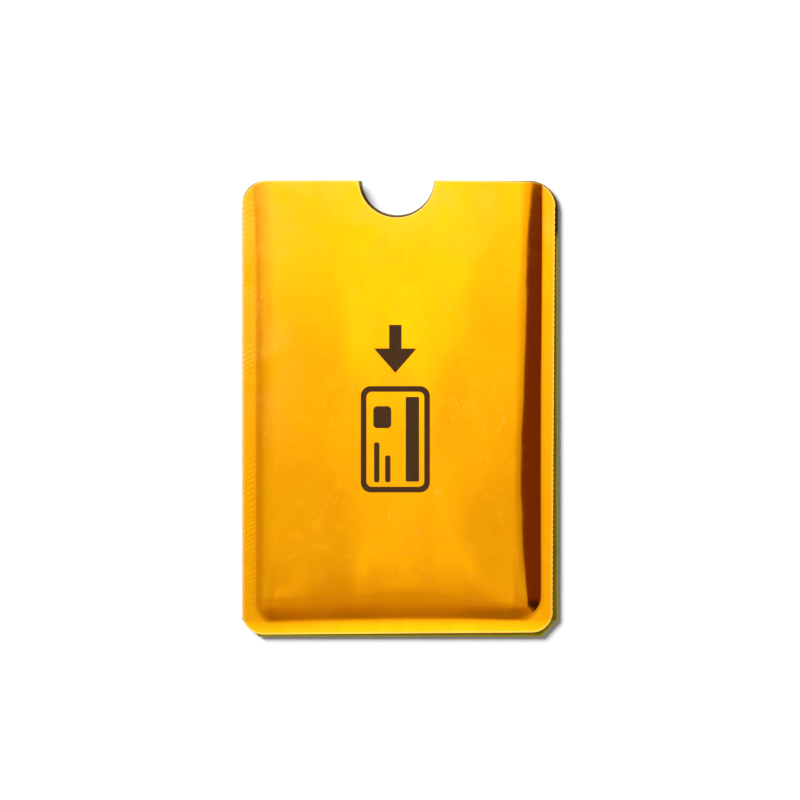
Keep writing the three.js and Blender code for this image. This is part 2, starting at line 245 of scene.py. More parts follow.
class SleeveStudio(PropertyGroup):
    """Camera, floor and lights."""

    view_width: length("View width", 159.6, "Width of the picture at the view height")
    view_height: length("View height", 1.5, "Height at which the picture has that width")
    camera_height: length("Camera height", 900.0, "Height of the camera over the floor")
    camera_x: length("Camera across", -0.02, "Place of the camera across the sleeve")
    camera_y: length("Camera along", 1.72, "Place of the camera along the sleeve")
    floor_width: length("Floor width", 6000.0, "Width of the square floor")
    floor_gap: length("Floor gap", 0.02, "Room between the floor and the sleeve")
    floor_colour: colour("Floor", 0.90, 0.90, 0.90, "Colour of the floor")
    fill: colour("Fill light", 0.27, 0.27, 0.27, "Even light on matt surfaces")
    horizon: colour("Horizon", 0.72, 0.70, 0.67, "Light from low round the sleeve")
    backdrop: colour("Backdrop", 0.93, 0.93, 0.93, "Colour behind the floor")
    top_tint: colour("Top tint", 1.0, 1.0, 1.0, "Tint of the light from overhead and behind")
    front_tint: colour("Front tint", 1.0, 0.69, 0.4, "Tint of the light from the front")
    side_tint: colour("Side tint", 1.0, 0.86, 0.7, "Tint of the light from the sides")
    middle_tint: colour("Middle tint", 0.97, 1.08, 1.0, "Tint of the narrow light in the middle")
    card: colour("Card", 0.168, 0.047, 0.03, "Colour of the dark card at the right")
    card_front: colour("Card front", 0.05, 0.012, 0.008, "Colour of that card towards the front")
    key_strength: FloatProperty(
        name="Key light", description="Strength of the key light in watts a square metre", default=5.4
    )
    key_angle: FloatProperty(
        name="Key size", description="Angle that the key light fills", default=0.6, subtype="ANGLE"
    )
    key_direction: FloatVectorProperty(
        name="Key direction",
        description="Direction in which the key light shines",
        default=(0.6, -0.5, -0.54),
        subtype="DIRECTION",
    )


class Socket:
    """An output socket of a node. Python's operators on it add Math nodes to its tree."""

    def __init__(self, graph, output):
        self.graph = graph
        self.output = output

    def math(self, operation, *others):
        """A Math node on this socket and up to two more values or sockets."""
        values = dict(enumerate((self, *others)))
        return self.graph.add("ShaderNodeMath", {"operation": operation}, values)

    def __add__(self, other):
        return self.math("ADD", other)

    def __sub__(self, other):
        return self.math("SUBTRACT", other)

    def __rsub__(self, other):
        return self.math("MULTIPLY_ADD", -1.0, other)

    def __mul__(self, other):
        return self.math("MULTIPLY", other)

    def __truediv__(self, other):
        return self.math("DIVIDE", other)

    def __pow__(self, other):
        return self.math("POWER", other)

    def __neg__(self):
        return self.math("MULTIPLY", -1.0)

    __radd__ = __add__
    __rmul__ = __mul__

    def at_least(self, other):
        return self.math("MAXIMUM", other)

    def clamped(self):
        return self.math("MAXIMUM", 0.0).math("MINIMUM", 1.0)

    def square(self):
        return self.math("MULTIPLY", self)

    def root(self):
        return self.math("SQRT")

    def size(self):
        return self.math("ABSOLUTE")

    def cosine(self):
        return self.math("COSINE")

    def step(self, start, end):
        """0 at start, 1 at end, and smooth between them."""
        sockets = {"Value": self, "From Min": start, "From Max": end}
        return self.graph.add("ShaderNodeMapRange", {"interpolation_type": "SMOOTHSTEP"}, sockets)


class Graph:
    """A node tree, and the one way in which nodes are added to it."""

    def __init__(self, tree):
        self.tree = tree

    def add(self, kind, settings=None, sockets=None, output=0):
        """Adds a node, makes its settings, fills its sockets, and returns one of its outputs."""
        node = self.tree.nodes.new(kind)
        for name, setting in (settings or {}).items():
            setattr(node, name, setting)
        for name, value in (sockets or {}).items():
            if isinstance(value, Socket):
                self.tree.links.new(value.output, node.inputs[name])
            else:
                node.inputs[name].default_value = value
        return Socket(self, node.outputs[output]) if node.outputs else None

    def axes(self, vector):
        """The three parts of a vector."""
        first = self.add("ShaderNodeSeparateXYZ", None, {0: vector})
        return [Socket(self, output) for output in first.output.node.outputs]

    def point(self, x, y, z):
        """A vector of three parts."""
        return self.add("ShaderNodeCombineXYZ", None, {"X": x, "Y": y, "Z": z})

    def scaled(self, vector, scales):
        """A vector with each part scaled on its own."""
        return self.add("ShaderNodeVectorMath", {"operation": "MULTIPLY"}, {0: vector, 1: scales})

    def noise(self, vector, scale, detail=2.0, distortion=0.0):
        """Smooth noise from about 0 to 1."""
        sockets = {"Vector": vector, "Scale": scale, "Detail": detail, "Distortion": distortion}
        return self.add("ShaderNodeTexNoise", None, sockets)

    def mix(self, factor, first, second):
        """The first colour where the factor is 0, and the second where it is 1."""
        sockets = {0: factor, 6: opaque(first), 7: opaque(second)}
        return self.add("ShaderNodeMix", {"data_type": "RGBA"}, sockets, output=2)


def opaque(rgb):
    """A colour as a node takes it. A socket stays as it is."""
    return rgb if isinstance(rgb, Socket) else (*rgb, 1.0)


# Inputs of the form tree that a piece sets, and those that come straight from the form.
PIECE_INPUTS = {
    "side": "1 for the front, -1 for the back, 0 for a seal",
    "rise": "Height of the plateau",
    "crown": "Extra height in the middle of the plateau",
    "mouth_fall": "Share of the rise lost at the mouth",
    "seal_left": "Place of the left seal line below the flare",
    "seal_right": "Place of the right seal line below the flare",
    "seal_bottom": "Place of the bottom seal line at its ends",
    "mouth": "Place of the mouth edge",
    "ripple": "Depth of the waves in the plateau",
    "ripple_seed": "Chooses the waves",
}
FORM_INPUTS = (
    "crown_loss",
    "fall_length",
    "mouth_flare",
    "flare_length",
    "taper",
    "taper_length",
    "bottom_bow",
    "bottom_tilt",
    "left_ramp",
    "right_ramp",
    "belly",
    "belly_place",
    "belly_length",
    "bottom_ramp",
    "bottom_ramp_right",
    "bottom_sweep",
    "sweep_share",
    "middle_loss",
    "corner_round",
    "corner_length",
    "corner_sink",
    "sink_length",
    "crease_softness",
    "crimp_pitch",
    "crimp_depth",
    "rim_curl",
)


def title(field):
    """The name of a tree's input for a field."""
    return field.replace("_", " ").title()


def form_tree():
    """The Geometry Nodes tree that turns a flat blank into a formed ply or seal."""
    tree = bpy.data.node_groups.new("sleeve_form", "GeometryNodeTree")
    described = dict(PIECE_INPUTS)
    for field in FORM_INPUTS:
        described[field] = SleeveForm.bl_rna.properties[field].description
    tree.interface.new_socket("Geometry", in_out="INPUT", socket_type="NodeSocketGeometry")
    for field, description in described.items():
        socket = tree.interface.new_socket(title(field), in_out="INPUT", socket_type="NodeSocketFloat")
        socket.description = description
    tree.interface.new_socket("Finish", in_out="INPUT", socket_type="NodeSocketMaterial")
    tree.interface.new_socket("Geometry", in_out="OUTPUT", socket_type="NodeSocketGeometry")

    graph = Graph(tree)
    entry = graph.add("NodeGroupInput").output.node.outputs
    fields = ("geometry", *described, "finish")
    given = SimpleNamespace(**{field: Socket(graph, entry[title(field)]) for field in fields})
    x, y, z = graph.axes(graph.add("GeometryNodeInputPosition"))

    # Across and along run from -1 to 1 over the pocket. The wobble keeps the sides from being even.
    middle_x = (given.seal_left + given.seal_right) * 0.5
    across = (x - middle_x) / ((given.seal_right - given.seal_left) * 0.5)
    middle_y = (given.seal_bottom + given.mouth) * 0.5
    along = (y - middle_y) / ((given.mouth - given.seal_bottom) * 0.5)
    past_mouth = y - given.mouth
    wobble = graph.noise(graph.point(2.0, y * 130.0, given.ripple_seed), 1.0, 2.0) - 0.5

    # The creases: those at the sides move out towards the mouth, and the bottom one bows and tilts.
    into_flare = (past_mouth / given.flare_length + 1.0).clamped()
    seal_left = given.seal_left - given.mouth_flare * into_flare.square()
    into_taper = (past_mouth / given.taper_length + 1.0).clamped()
    seal_right = given.seal_right + given.taper * into_taper
    seal_bottom = given.seal_bottom + given.bottom_bow * (1.0 - across.square()).at_least(0.0)
    seal_bottom = seal_bottom + given.bottom_tilt * across.step(-0.5, 0.9)

    # The right ramp has a belly and is narrow and sharp near the mouth.
    belly = (1.0 - ((y - given.belly_place) / given.belly_length).square()).at_least(0.0)
    taut = past_mouth.step(-30.0 * MM, -12.0 * MM)
    right_ramp = given.right_ramp * (1.0 + wobble * 0.14) * (1.0 - taut * 0.21)
    right_bend = 2.0 + wobble * 0.5 - given.belly * belly - taut * 0.57

    # The bottom ramp and the long slope over it are wider midway, and the slope ends at the sides.
    midway = 1.0 - (across - 0.12).size().step(0.1, 0.46)
    narrowing = (given.bottom_ramp_right - given.bottom_ramp) * across.step(-0.1, 0.8)
    bottom_ramp = (given.bottom_ramp + narrowing) * (1.0 + midway * 0.3)
    bottom_sweep = given.bottom_sweep * (1.0 + midway * 0.5)
    swept = given.sweep_share * (1.0 - (across + 0.08).size().step(0.5, 1.02))
    swept = swept * (1.0 - given.middle_loss * midway)

    # At the bottom corners the side creases turn in, the plateau sinks and the left ramp narrows.
    into_corner = (1.0 - (y - seal_bottom) / given.corner_length).clamped()
    turned = given.corner_round * into_corner.square()
    into_sink = (1.0 - (y - seal_bottom) / given.sink_length).clamped()
    aside = across.step(0.0, 1.1) + (-across).step(0.0, 1.1) * 0.6
    sunk = 1.0 - given.corner_sink * aside * into_sink.square()
    left_ramp = given.left_ramp * (1.0 - into_sink.square() * 0.5)

    softness = given.crease_softness.square()

    def climbed(distance, width, bend, rounding=1.0):
        """Share of a ramp climbed at a distance from its crease, which is rounded more or less."""
        part = distance / width
        part = ((part + (part.square() + softness * rounding).root()) * 0.5).math("MINIMUM", 1.0)
        return 1.0 - (1.0 - part) ** bend

    left_climb = climbed(x - seal_left - turned * 0.9, left_ramp, 2.4, rounding=6.0)
    right_climb = climbed(seal_right - x - turned * 1.3, right_ramp, right_bend + into_sink * 0.3)
    short_climb = climbed(y - seal_bottom, bottom_ramp, 2.0)
    long_climb = climbed(y - seal_bottom, bottom_sweep, 3.0)
    bottom_climb = short_climb * (1.0 - swept) + long_climb * swept
    ramp = left_climb * right_climb * bottom_climb * sunk

    # The plateau's height, less the shallow waves.
    crown = given.crown * (1.0 - across.square()) * (1.0 - given.crown_loss * along.square())
    fall = given.mouth_fall * (past_mouth / given.fall_length + 1.0).clamped().square()
    waves = graph.noise(graph.point(x * 55.0, y * 26.0, given.ripple_seed), 1.0, 1.0)
    waves = waves.step(0.25, 0.75)
    height = given.rise * (1.0 - fall) + crown - given.ripple * waves
    puff = given.side * ramp * height

    # The ribs across the side seals, pressed through every ply alike. They lean, come and go, are
    # shallower at the right and end above the bottom rim.
    in_seal = (seal_left - x).at_least(x - seal_right).step(0.0, 1.0 * MM)
    lean = y + x.size() * 0.6 + wobble * (3.0 * MM)
    turn = lean * (2.0 * math.pi) / given.crimp_pitch
    firm = graph.noise(graph.point(x * 90.0, y * 160.0, 3.0), 1.0, 2.0).step(0.35, 0.65) * 0.8 + 0.2
    shallower = 1.0 - x.step(0.0, 10.0 * MM) * 0.6
    past_seal = ((seal_bottom - y) / (given.seal_bottom - BACK_LOW.y)).clamped()
    pressed = in_seal * firm * shallower * (1.0 - past_seal.step(0.0, 0.3))
    ribs = given.crimp_depth * pressed * turn.cosine() * 0.5

    # The bottom rim curls up from the seal line.
    curl = given.rim_curl * (past_seal * 0.45 + past_seal.square() * 0.55)

    lifted = graph.point(x, y, z + puff + ribs + curl)
    moved = {"Geometry": given.geometry, "Position": lifted}
    formed = graph.add("GeometryNodeSetPosition", None, moved)
    realized = graph.add("GeometryNodeRealizeInstances", None, {"Geometry": formed})
    dressed = {"Geometry": realized, "Material": given.finish}
    finished = graph.add("GeometryNodeSetMaterial", None, dressed)
    graph.add("NodeGroupOutput", None, {"Geometry": finished})
    return tree


def shared_form_tree():
    """The form tree, built on first use."""
    return bpy.data.node_groups.get("sleeve_form") or form_tree()


class Edges:
    """The sleeve's edges and seal lines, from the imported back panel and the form."""

    def __init__(self, form):
        self.left = BACK_LOW.x
        self.right = BACK_HIGH.x
        self.bottom = BACK_LOW.y
        self.top = BACK_HIGH.y
        self.seal_left = self.left + form.left_seal
        self.seal_right = self.right - form.right_seal
        self.seal_bottom = self.bottom + form.bottom_seal
        self.middle_x = (self.seal_left + self.seal_right) / 2
        self.notch_x = (self.left + self.right) / 2 + form.notch_offset


def arc(centre, radius, start, end, count):
    """Points on an arc, both ends included."""
    angles = np.linspace(start, end, count)
    xs = centre[0] + radius * np.cos(angles)
    ys = centre[1] + radius * np.sin(angles)
    return np.column_stack([xs, ys])


def notch_arc(form, edges, radius, shift_x, shift_y):
    """A thumb notch, walked from its right lip to its left."""
    centre = (edges.notch_x + shift_x, edges.top + form.notch_radius - form.notch_depth + shift_y)
    lip = math.asin((centre[1] - edges.top) / radius)
    return arc(centre, radius, -lip, lip - math.pi, NOTCH_POINTS)


def toothed(start, end, pitch, depth):
    """Points of a trimmed edge whose teeth are cut to the left of the walk from start to end."""
    start, end = np.array(start), np.array(end)
    reach = end - start
    distance = np.hypot(*reach)
    inwards = np.array([-reach[1], reach[0]]) / distance
    teeth = int(distance / pitch)
    count = TOOTH_POINTS * teeth
    steps = np.arange(1, count) / count
    cut = depth * (0.5 - 0.5 * np.cos(steps * teeth * 2 * math.pi))
    return start + steps[:, None] * reach + cut[:, None] * inwards


def front_outline(form, edges):
    """The front panel: four rounded corners, toothed sides and the notch, walked anticlockwise."""
    corners = [
        (edges.left, edges.bottom + form.setback_bottom_left, form.bottom_radius),
        (edges.right - form.setback_right, edges.bottom + form.setback_bottom, form.bottom_radius),
        (edges.right - form.setback_top_right, edges.top - form.setback_top, form.top_radius),
        (edges.left, edges.top, form.top_radius),
    ]
    arcs = []
    for i, (x, y, radius) in enumerate(corners):
        here = Vector((x, y))
        incoming = (here - Vector(corners[i - 1][:2])).normalized()
        outgoing = (Vector(corners[(i + 1) % 4][:2]) - here).normalized()
        turn = incoming.angle(outgoing)
        inset = radius * math.tan(turn / 2)
        inwards = Vector((-incoming.y, incoming.x))
        centre = here - incoming * inset + inwards * radius
        begin = math.atan2(-inwards.y, -inwards.x)
        arcs.append(arc(centre, radius, begin, begin + turn, CORNER_POINTS))
    bottom_left, bottom_right, top_right, top_left = arcs
    teeth = (form.tooth_pitch, form.tooth_depth)
    right_teeth = toothed(bottom_right[-1], top_right[0], *teeth)
    left_teeth = toothed(top_left[-1], bottom_left[0], *teeth)
    notch = notch_arc(form, edges, form.notch_radius, 0.0, 0.0)
    right_side = [bottom_right, right_teeth, top_right]
    left_side = [top_left, left_teeth]
    return np.vstack([bottom_left, *right_side, notch, *left_side])


def back_outline(form, edges):
    """The back panel: rounded at the mouth, clipped at the closed end, walked anticlockwise."""
    clip = form.bottom_clip
    left_radius = form.back_left_radius
    right_radius = form.back_right_radius
    top_right = (edges.right - right_radius, edges.top - right_radius)
    top_left = (edges.left + left_radius, edges.top - left_radius)
    return np.vstack(
        [
            (edges.left + clip, edges.bottom),
            (edges.right - clip, edges.bottom),
            (edges.right, edges.bottom + clip),
            arc(top_right, right_radius, 0.0, math.pi / 2, CORNER_POINTS),
            notch_arc(form, edges, form.back_notch_radius, form.notch_shift_x, form.notch_shift_y),
            arc(top_left, left_radius, math.pi / 2, math.pi, CORNER_POINTS),
            (edges.left, edges.bottom + clip),
        ]
    )


def flare_line(form, edges, line, outwards, bottom):
    """A side seal line from a low point up to the mouth, with its flare."""
    rise = np.linspace(0.0, 1.0, FLARE_POINTS)
    xs = line + outwards * form.mouth_flare * rise**2
    ys = edges.top - form.flare_length * (1.0 - rise)
    return np.vstack([(line, bottom), np.column_stack([xs, ys])])


def bow_line(form, edges, inset):
    """The bottom seal line from left to right, moved into the pocket by an inset."""
    xs = np.linspace(edges.seal_left + inset, edges.seal_right - inset, BOW_POINTS)
    across = (xs - edges.middle_x) / ((edges.seal_right - edges.seal_left) / 2)
    ys = edges.seal_bottom + inset + form.bottom_bow * (1.0 - across**2)
    return np.column_stack([xs, ys])


def liner_outline(form, edges):
    """A liner before it is cut to its panel: the pocket between the seals, drawn past the mouth."""
    gap = form.liner_gap
    bottom = bow_line(form, edges, gap)
    right = flare_line(form, edges, edges.seal_right - gap, 1.0, bottom[-1][1])
    left = flare_line(form, edges, edges.seal_left + gap, -1.0, bottom[0][1])
    beyond = [(right[-1][0], edges.top + MM), (left[-1][0], edges.top + MM)]
    return np.vstack([bottom, right[1:], beyond, left[:0:-1]])


def side_seal_outline(form, edges, side):
    """A side seal before it is cut to the back panel: side is 1 for the right, -1 for the left."""
    beyond = (edges.right if side > 0 else edges.left) + side * MM
    line = edges.seal_right if side > 0 else edges.seal_left
    low = edges.seal_bottom + form.liner_gap
    inner = flare_line(form, edges, line, side, low)
    outer = [(inner[-1][0], edges.top + MM), (beyond, edges.top + MM), (beyond, low)]
    outline = np.vstack([inner, outer])
    return outline if side < 0 else outline[::-1]


def bottom_seal_outline(form, edges):
    """The bottom seal before it is cut to the back panel, walked anticlockwise."""
    return np.vstack(
        [
            (edges.left - MM, edges.bottom - MM),
            (edges.right + MM, edges.bottom - MM),
            (edges.right + MM, edges.seal_bottom),
            bow_line(form, edges, 0.0)[::-1],
            (edges.left - MM, edges.seal_bottom),
        ]
    )


def lattice(xs, ys, step_x, step_y):
    """Points of a rectangle in even rows and columns, with the step of each point."""
    count_x = max(2, round((xs[1] - xs[0]) / step_x))
    count_y = max(2, round((ys[1] - ys[0]) / step_y))
    columns = np.linspace(*xs, count_x + 1)[:-1] + (xs[1] - xs[0]) / count_x / 2
    rows = np.linspace(*ys, count_y + 1)[:-1] + (ys[1] - ys[0]) / count_y / 2
    grid = np.array([(x, y) for x in columns for y in rows])
    return np.column_stack([grid, np.full(len(grid), min(step_x, step_y))])


def sheet_points(form, edges, coarseness):
    """Points over the sleeve: dense on the crimped seals and ramps, wide apart on the plateau."""
    margin = 0.5 * MM
    plateau_left = edges.seal_left + form.left_ramp + margin
    plateau_right = edges.seal_right - form.right_ramp - margin
    plateau_bottom = edges.seal_bottom + form.bottom_bow + form.bottom_ramp + margin
    left_ramp = (edges.seal_left, plateau_left)
    right_ramp = (plateau_right, edges.seal_right)
    middle = (plateau_left, plateau_right)
    whole = (edges.bottom, edges.top)
    lower = (edges.bottom, plateau_bottom)
    upper = (plateau_bottom, edges.top)
    # Each zone's columns and rows, and its steps across and along in millimetres.
    zones = (
        ((edges.left, edges.seal_left), whole, 0.23, 0.15),
        ((edges.seal_right, edges.right), whole, 0.25, 0.15),
        (left_ramp, lower, 0.21, 0.22),
        (left_ramp, upper, 0.21, 0.5),
        (right_ramp, lower, 0.22, 0.22),
        (right_ramp, upper, 0.22, 0.5),
        (middle, lower, 0.6, 0.2),
        (middle, upper, 1.0, 1.0),
    )
    step = MM * coarseness
    return np.vstack([lattice(xs, ys, wide * step, tall * step) for xs, ys, wide, tall in zones])


def within(points, loop):
    """Which points lie inside a loop."""
    inside = np.zeros(len(points), bool)
    px, py = points[:, 0], points[:, 1]
    for (ax, ay), (bx, by) in zip(loop, np.roll(loop, -1, axis=0)):
        if ay != by:
            spans = (ay > py) != (by > py)
            inside ^= spans & (px < ax + (py - ay) * (bx - ax) / (by - ay))
    return inside


def inside_odd(loops_round):
    """Keeps what an odd number of loops goes round, so that a loop in a loop is a hole."""
    return loops_round % 2 == 1


def inside_both(loops_round):
    """Keeps what two loops both go round."""
    return loops_round == 2


def divided(loop, longest):
    """A loop with points added, so that no side is much longer than that length."""
    points = []
    for start, end in zip(loop, np.roll(loop, -1, axis=0)):
        count = max(1, round(np.hypot(*(end - start)) / longest))
        points.extend(start + (end - start) * (i / count) for i in range(count))
    return np.array(points)


def edge_tree(loops):
    """A search tree of points close together along the loops."""
    samples = np.vstack([divided(loop, EDGE_SAMPLE) for loop in loops])
    tree = KDTree(len(samples))
    for i, (x, y) in enumerate(samples):
        tree.insert((x, y, 0.0), i)
    tree.balance()
    return tree


def cut_blank(loops, points, keeps=inside_odd, rims=1):
    """Cuts a flat blank: vertices, triangles, and each vertex's distance from the first loops."""
    loops = [divided(loop, EDGE_STEP) for loop in loops]
    tree = edge_tree(loops)
    rim = edge_tree(loops[:rims])
    points = points[keeps(sum(within(points[:, :2], loop).astype(int) for loop in loops))]
    kept = [(x, y) for x, y, step in points if tree.find((x, y, 0.0))[2] > EDGE_ROOM * step]
    corners = [Vector(corner) for loop in loops for corner in loop]
    rings = []
    for loop in loops:
        first = sum(len(ring) for ring in rings)
        rings.append(list(range(first, first + len(loop))))
    corners += [Vector(corner) for corner in kept]
    only_inside = 1
    same_point = 1e-9
    cut = delaunay_2d_cdt(corners, [], rings, only_inside, same_point)
    vertices, _, triangles, _, _, owners = cut
    triangles = [tri for tri, owner in zip(triangles, owners) if keeps(len(owner))]
    used = sorted({i for tri in triangles for i in tri})
    order = {i: place for place, i in enumerate(used)}
    flat = [vertices[i] for i in used]
    distances = [rim.find((p.x, p.y, 0.0))[2] for p in flat]
    return flat, [tuple(order[i] for i in tri) for tri in triangles], distances


def slab_mesh(name, blank, low, high):
    """A closed flat sheet of a cut blank between two heights, with an edge attribute in metres."""
    flat, triangles, distances = blank
    count = len(flat)
    vertices = [(p.x, p.y, high) for p in flat] + [(p.x, p.y, low) for p in flat]
    faces = list(triangles)
    faces += [(count + c, count + b, count + a) for a, b, c in triangles]
    sides = {}
    for a, b, c in triangles:
        for start, end in ((a, b), (b, c), (c, a)):
            if sides.pop((end, start), None) is None:
                sides[(start, end)] = True
    faces += [(count + start, count + end, end, start) for start, end in sides]
    mesh = bpy.data.meshes.new(name)
    mesh.from_pydata(vertices, [], faces)
    mesh.attributes.new("edge", "FLOAT", "POINT").data.foreach_set("value", distances + distances)
    return mesh


def form_values(form, edges, side):
    """The form tree's inputs for the front, the back or a seal."""
    front = side > 0
    values = {field: getattr(form, field) for field in FORM_INPUTS}
    values.update(
        side=float(side),
        rise={1: form.front_rise, -1: form.back_drop, 0: 0.0}[side],
        crown=form.front_crown if front else 0.0,
        mouth_fall=form.mouth_fall if front else 0.0,
        seal_left=edges.seal_left,
        seal_right=edges.seal_right,
        seal_bottom=edges.seal_bottom,
        mouth=edges.top,
        ripple=form.ripple if front else form.ripple * 0.5,
        ripple_seed=float(form.ripple_seed + side),
    )
    return values


def formed_piece(context, name, blank, low, high, side, material):
    """A formed ply, seal or print: the blank as a slab, shaped by the form tree, then a mesh."""
    form = context.scene.sleeve_form
    mesh = slab_mesh(name + "_blank", blank, low, high)
    piece = bpy.data.objects.new(name, mesh)
    context.scene.collection.objects.link(piece)
    shaping = piece.modifiers.new("form", "NODES")
    shaping.node_group = shared_form_tree()
    values = form_values(form, Edges(form), side)
    values["finish"] = material
    named = {title(field): value for field, value in values.items()}
    for item in shaping.node_group.interface.items_tree:
        if item.in_out == "INPUT" and item.name in named:
            shaping[item.identifier] = named[item.name]
    depsgraph = context.evaluated_depsgraph_get()
    formed = bpy.data.meshes.new_from_object(piece.evaluated_get(depsgraph))
    piece.modifiers.clear()
    piece.data = formed
    bpy.data.meshes.remove(mesh)
    formed.name = name
    formed.shade_smooth()
    formed.set_sharp_from_angle(angle=SHARP_ANGLE)
    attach(piece, "root")
    return piece


def dress(node, slot):
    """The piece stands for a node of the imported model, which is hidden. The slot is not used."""
    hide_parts(node)


def new_material(name, finish, group):
    """A material of one Principled shader: the finish gives its sockets from a group's colours."""
    material = bpy.data.materials.new(name)
    material.use_nodes = True
    material.node_tree.nodes.clear()
    graph = Graph(material.node_tree)
    metres = graph.add("ShaderNodeTexCoord", None, None, output="Object")
    place = graph.scaled(metres, (1 / MM, 1 / MM, 1 / MM))
    shader = graph.add("ShaderNodeBsdfPrincipled", None, finish(graph, place, group))
    graph.add("ShaderNodeOutputMaterial", None, {"Surface": shader})
    return material


def shared_material(finish):
    """A material of the sleeve, named after its finish and made on first use."""
    name = "sleeve_" + finish.__name__
    colours = bpy.context.scene.sleeve_finish
    return bpy.data.materials.get(name) or new_material(name, finish, colours)


def bump(graph, height, distance):
    """A normal from a height of 0 to 1 over that distance."""
    sockets = {"Strength": 1.0, "Distance": distance, "Height": height}
    return graph.add("ShaderNodeBump", None, sockets)


def rim_distance(graph):
    """Distance from the nearest cut edge, in millimetres."""
    metres = graph.add("ShaderNodeAttribute", {"attribute_name": "edge"}, None, output="Fac")
    return metres * (1 / MM)


def hairlines(graph, place, scale, width):
    """Thin scratches: the level lines of a stretched noise, broken up by another."""
    lines = graph.noise(graph.scaled(place, (1.0, 0.22, 1.0)), scale, 1.0, 0.6) - 0.5
    mask = graph.noise(place, 0.16, 2.0).step(0.5, 0.66)
    return (1.0 - lines.size().step(0.0, width)) * mask


def gold_film(graph, place, colours):
    """Metallised gold film: glossy, blotched, smudged; painted sheen over haze at upper left and mouth;
    painted highlight at rubbed edges.
    """
    x, y, _ = graph.axes(place)
    drift = graph.noise(place, 0.05, 2.0).step(0.3, 0.7)
    blotches = graph.noise(graph.scaled(place, (1.0, 0.8, 1.0)), 0.2, 4.0, 0.7).step(0.32, 0.68)
    streaks = graph.noise(graph.scaled(place, (1.6, 0.05, 1.6)), 1.0, 3.0)
    smudges = graph.noise(place, 0.22, 4.0, 1.2).step(0.52, 0.74)
    grain = graph.noise(place, 5.0, 3.0)
    peel = graph.noise(place, 1.3, 2.0)
    scratches = hairlines(graph, place, 0.55, 0.006)
    # A painted highlight: the film turns paler near its cut edges, and a little rougher where rubbed.
    rubbed_rim_highlight = 1.0 - (rim_distance(graph) + (grain - 0.5) * 0.25).step(0.04, 0.5)

    # A paler painted sheen, with a slightly rougher haze, lies along the upper left and at the mouth, and
    # hardly on the right ramp there.
    clouds = graph.noise(graph.scaled(place, (1.0, 1.3, 1.0)), 0.1, 3.0, 0.3).step(0.3, 0.7)
    left_sheen_and_haze = (-x).step(17.0, 27.0) * y.step(-14.0, 10.0) * 0.6
    ramp_without_sheen = x.step(16.0, 21.0) * (1.0 - x.step(26.0, 28.5))
    mouth_sheen_and_haze = y.step(26.0, 44.0) * (0.7 - ramp_without_sheen * 0.6)
    sheen_and_haze = clouds * (left_sheen_and_haze + mouth_sheen_and_haze).clamped()

    tone = drift * 0.35 + blotches * 0.45 + (streaks - 0.5) * 0.3
    base = graph.mix(tone.clamped(), colours.gold, colours.gold_deep)
    # The paler painted sheen at the upper left and the mouth.
    base = graph.mix(sheen_and_haze * 0.55, base, colours.gold_sheen)
    # Scratches, and the painted highlight along the cut edges, turn the film paler.
    base = graph.mix(scratches * 0.25 + rubbed_rim_highlight * 0.6, base, colours.gold_worn_and_highlight)
    roughness = colours.gloss + smudges * 0.05 + sheen_and_haze * 0.06 + (streaks - 0.5) * 0.03 + grain * 0.03
    height = peel * 0.8 + grain * 0.2 - scratches * 0.25
    return {
        "Base Color": base,
        "Metallic": 1.0 - scratches * 0.1,
        "Roughness": roughness + scratches * 0.1 + rubbed_rim_highlight * 0.12,
        "Specular Tint": opaque(colours.gold_grazing),
        "Coat Weight": 0.03 + smudges * 0.06,
        "Coat Roughness": 0.08,
        "Normal": bump(graph, height, 0.0022 * MM),
    }


def aluminium_foil(graph, place, colours):
    """Bare rolled foil, seen at the cut edges: grey, with fine lines along the sleeve."""
    rolled = graph.noise(graph.scaled(place, (9.0, 0.12, 9.0)), 1.0, 3.0)
    clouds = graph.noise(place, 0.3, 3.0)
    return {
        "Base Color": graph.mix(clouds * 0.5 + rolled * 0.3, colours.silver, colours.silver_dull),
        "Metallic": 1.0,
        "Roughness": 0.24 + rolled * 0.16,
        "Normal": bump(graph, rolled, 0.002 * MM),
    }


def sealing_liner(graph, place, colours):
    """The heat-sealing liner inside the pocket: olive brown, satin and faintly mottled."""
    mottle = graph.noise(place, 0.4, 4.0).step(0.3, 0.7)
    matt = graph.noise(place, 6.0, 2.0)
    return {
        "Base Color": graph.mix(mottle * 0.6, colours.liner, colours.liner_mottle),
        "Roughness": 0.42 + matt * 0.2,
        "Normal": bump(graph, matt * 0.6 + mottle * 0.4, 0.008 * MM),
    }


def fused_seal(graph, place, colours):
    """The two liners fused by heat: olive, lighter along the cut edge as a painted highlight, near black
    at the mouth's right as a painted shadow.
    """
    x, y, _ = graph.axes(place)
    flow = graph.noise(graph.scaled(place, (1.0, 0.25, 1.0)), 0.8, 3.0).step(0.3, 0.7)
    specks = graph.noise(place, 4.0, 3.0)
    # A painted highlight: the seal is lighter olive along its cut edge.
    seal_rim_highlight = 1.0 - (rim_distance(graph) + (specks - 0.5) * 0.3).step(0.05, 0.5)
    # A painted shadow: the right seal turns near black just below the mouth.
    mouth_seal_shadow = y.step(33.5, 35.5) * x.step(0.0, 10.0)
    base = graph.mix(flow * 0.7, colours.olive, colours.olive_deep)
    base = graph.mix(seal_rim_highlight * 0.8, base, colours.olive_rim_highlight)
    return {
        "Base Color": graph.mix(mouth_seal_shadow * 0.92, base, colours.seal_gap_shadow),
        "Roughness": 0.5 + specks * 0.2,
        "Specular IOR Level": 0.06,
        "Normal": bump(graph, flow * 0.5 + specks * 0.5, 0.01 * MM),
    }


